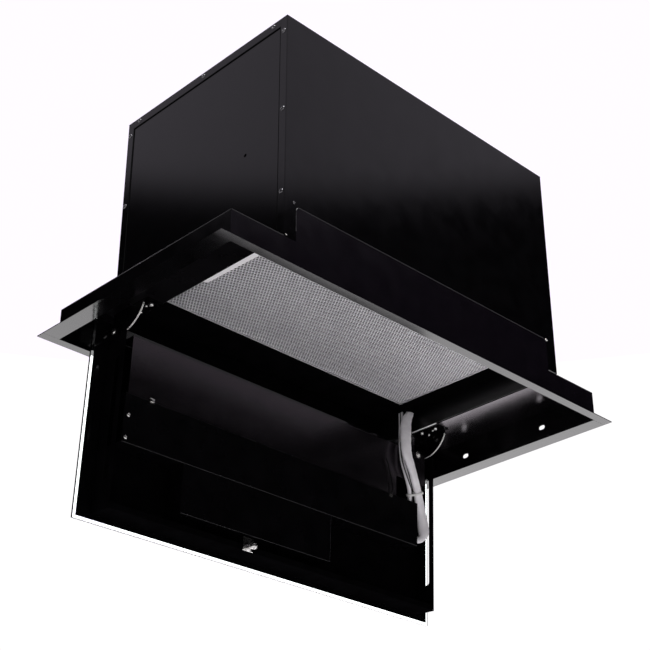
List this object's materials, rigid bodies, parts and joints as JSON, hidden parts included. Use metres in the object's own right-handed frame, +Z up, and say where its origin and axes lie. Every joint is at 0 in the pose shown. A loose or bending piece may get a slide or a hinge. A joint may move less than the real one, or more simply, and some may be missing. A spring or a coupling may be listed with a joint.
{
  "type": "built-in range hood",
  "caption": "Black ceiling hood: flanged collar, tall motor box with duct spigot, grease filter, and a hinged glass suction panel hanging open below.",
  "frame": {"origin": "centre of the trim flange's underside, which is the plane of the ceiling or cabinet cut-out", "axes": "+X along the hood's length, +Y towards the hinge side of the glass panel, +Z up into the cabinet"},
  "size_m": [0.9, 0.4376, 0.8075],
  "materials": {
    "painted_sheet": "satin-gloss black powder coat",
    "gloss_trim": "gloss black",
    "black_glass": "polished, painted black on the inner face with a narrow clear border",
    "black_plastic": "fine matt",
    "grey_sleeve": "soft matt sleeving",
    "white_plastic": "matt",
    "filter_aluminium": "bright, perforated",
    "zinc_steel": "zinc plated",
    "bright_steel": "bright plated",
    "motor_housing": "satin black",
    "circuit_board": "solder-resist green",
    "lamp_diffuser": "opal"
  },
  "bodies": {
    "chassis": {"front_rail": "gloss_trim", "rear_rail": "gloss_trim", "left_end_rail": "gloss_trim", "right_end_rail": "gloss_trim", "left_ceiling_plate": "painted_sheet", "right_ceiling_plate": "painted_sheet", "front_panel": "painted_sheet", "rear_panel": "painted_sheet", "left_end_panel": "painted_sheet", "right_end_panel": "painted_sheet", "top_panel": "painted_sheet", "mains_gland": "black_plastic", "baffle_plate": "gloss_trim", "filter_rear_ledge": "zinc_steel", "filter_clip_left": "bright_steel", "filter_clip_right": "bright_steel", "spring_catch": "bright_steel", "left_hinge_bracket": "painted_sheet", "right_hinge_bracket": "painted_sheet", "left_pivot_screw": "bright_steel", "right_pivot_screw": "bright_steel", "left_pivot_spacer": "bright_steel", "right_pivot_spacer": "bright_steel", "scroll_housing_left": "zinc_steel", "scroll_housing_right": "zinc_steel", "motor": "motor_housing", "motor_bracket": "zinc_steel", "motor_capacitor": "white_plastic", "duct_spigot": "black_plastic", "damper_pin": "bright_steel", "electronics_box": "black_plastic", "electronics_lid": "black_plastic", "power_board": "circuit_board", "harness_gland": "black_plastic", "harness_sleeve": "grey_sleeve", "harness_cable": "grey_sleeve"},
    "panel": {"glass_panel": "black_glass", "tray_floor": "painted_sheet", "left_tray_rail": "painted_sheet", "right_tray_rail": "painted_sheet", "tray_front_wall": "painted_sheet", "upper_plate": "gloss_trim", "wiring_cover": "painted_sheet", "control_box": "black_plastic", "control_board": "circuit_board", "lamp_strip": "lamp_diffuser", "striker_bracket": "bright_steel", "striker_stud": "bright_steel"},
    "filter": {"filter_frame": "filter_aluminium", "filter_face": "filter_aluminium", "filter_mesh": "filter_aluminium", "filter_pull": "black_plastic"},
    "wheel": {"impeller": "black_plastic", "motor_shaft": "bright_steel"},
    "flap_left": {"damper_flap_left": "black_plastic"},
    "flap_right": {"damper_flap_right": "black_plastic"}
  },
  "joints": [
    {"name": "panel_hinge", "type": "hinge", "parent": "chassis", "child": "panel", "pos_m": [0, 0.14775, 0.0173], "axis": [-1, 0, 0], "range_deg": [0, 92.4], "deforming": ["harness_sleeve", "harness_cable"]},
    {"name": "filter_tilt", "type": "hinge", "parent": "chassis", "child": "filter", "pos_m": [0, 0.1237, 0.0935], "axis": [-1, 0, 0], "range_deg": [-35, 0]},
    {"name": "wheel_spin", "type": "hinge", "parent": "chassis", "child": "wheel", "pos_m": [0, -0.05, 0.25], "axis": [1, 0, 0], "continuous": true},
    {"name": "flap_left_swing", "type": "hinge", "parent": "chassis", "child": "flap_left", "pos_m": [-0.0025, 0.029, 0.472], "axis": [0, 1, 0], "range_deg": [0, 80]},
    {"name": "flap_right_swing", "type": "hinge", "parent": "chassis", "child": "flap_right", "pos_m": [0.0025, 0.029, 0.472], "axis": [0, -1, 0], "range_deg": [0, 80]}
  ]
}
